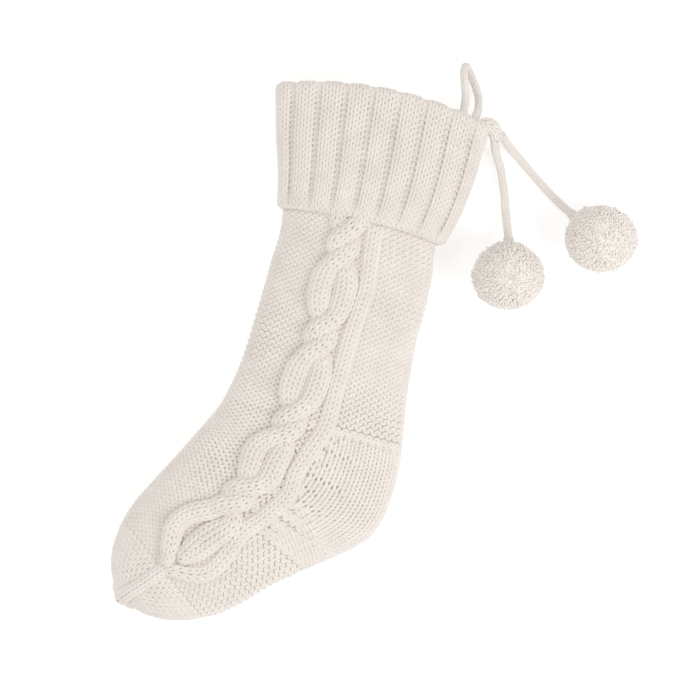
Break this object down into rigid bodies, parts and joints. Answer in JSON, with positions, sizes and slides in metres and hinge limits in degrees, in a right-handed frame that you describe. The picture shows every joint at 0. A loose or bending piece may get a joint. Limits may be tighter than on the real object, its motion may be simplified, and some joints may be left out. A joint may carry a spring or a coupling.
{
  "type": "knitted hanging stocking",
  "caption": "Chunky knitted stocking with a turned-over ribbed cuff, rope cable, hanging loop and two pompoms on cords, lying flat.",
  "frame": {"origin": "on the flat back of the leg, midway between its edges, 5 mm below the middle of the leg's length", "axes": "+Y up the leg to the mouth, +X to the heel side, +Z off the front face"},
  "size_m": [0.382, 0.5552, 0.062],
  "materials": {
    "ground_wool": "matte ivory wool, reverse stocking stitch",
    "heel_wool": "matte ivory wool, stocking stitch",
    "rib_wool": "matte ivory wool, wide rib",
    "cable_wool": "matte ivory wool, raised cable",
    "cord_wool": "matte ivory knitted cord",
    "pompom_wool": "fluffy ivory wool pile",
    "sewing_thread": "matte ivory thread"
  },
  "bodies": {
    "stocking": {"leg_tube": "ground_wool", "cuff_turnover": "rib_wool", "cuff_fold": "rib_wool", "heel_cup": "heel_wool", "instep_panel": "ground_wool", "foot_tube": "ground_wool", "toe_cap": "heel_wool", "cable_strand_left": "cable_wool", "cable_strand_right": "cable_wool", "cable_border_band": "cable_wool", "loop_tack": "sewing_thread", "corner_knot": "cord_wool"},
    "loop": {"hanging_loop": "cord_wool"},
    "left_cord": {"left_pompom_cord": "cord_wool", "left_pompom_tie": "sewing_thread"},
    "left_ball": {"left_pompom": "pompom_wool"},
    "right_cord": {"right_pompom_cord": "cord_wool", "right_pompom_tie": "sewing_thread"},
    "right_ball": {"right_pompom": "pompom_wool"}
  },
  "joints": [
    {"name": "loop_swing", "type": "hinge", "parent": "stocking", "child": "loop", "pos_m": [0.0705, 0.216, 0.02], "axis": [1, 0, 0], "range_deg": [0, 28]},
    {"name": "left_cord_swing", "type": "hinge", "parent": "stocking", "child": "left_cord", "pos_m": [0.0985, 0.207, 0.0155], "axis": [0, 0, 1], "range_deg": [-8, 8]},
    {"name": "left_pompom_swing", "type": "hinge", "parent": "left_cord", "child": "left_ball", "pos_m": [0.1355, 0.1166, 0.019], "axis": [0, 0, 1], "range_deg": [-12, 12]},
    {"name": "right_cord_swing", "type": "hinge", "parent": "stocking", "child": "right_cord", "pos_m": [0.1005, 0.211, 0.0155], "axis": [0, 0, 1], "range_deg": [-8, 68]},
    {"name": "right_pompom_swing", "type": "hinge", "parent": "right_cord", "child": "right_ball", "pos_m": [0.1876, 0.1552, 0.0195], "axis": [0, 0, 1], "range_deg": [-12, 12]}
  ]
}
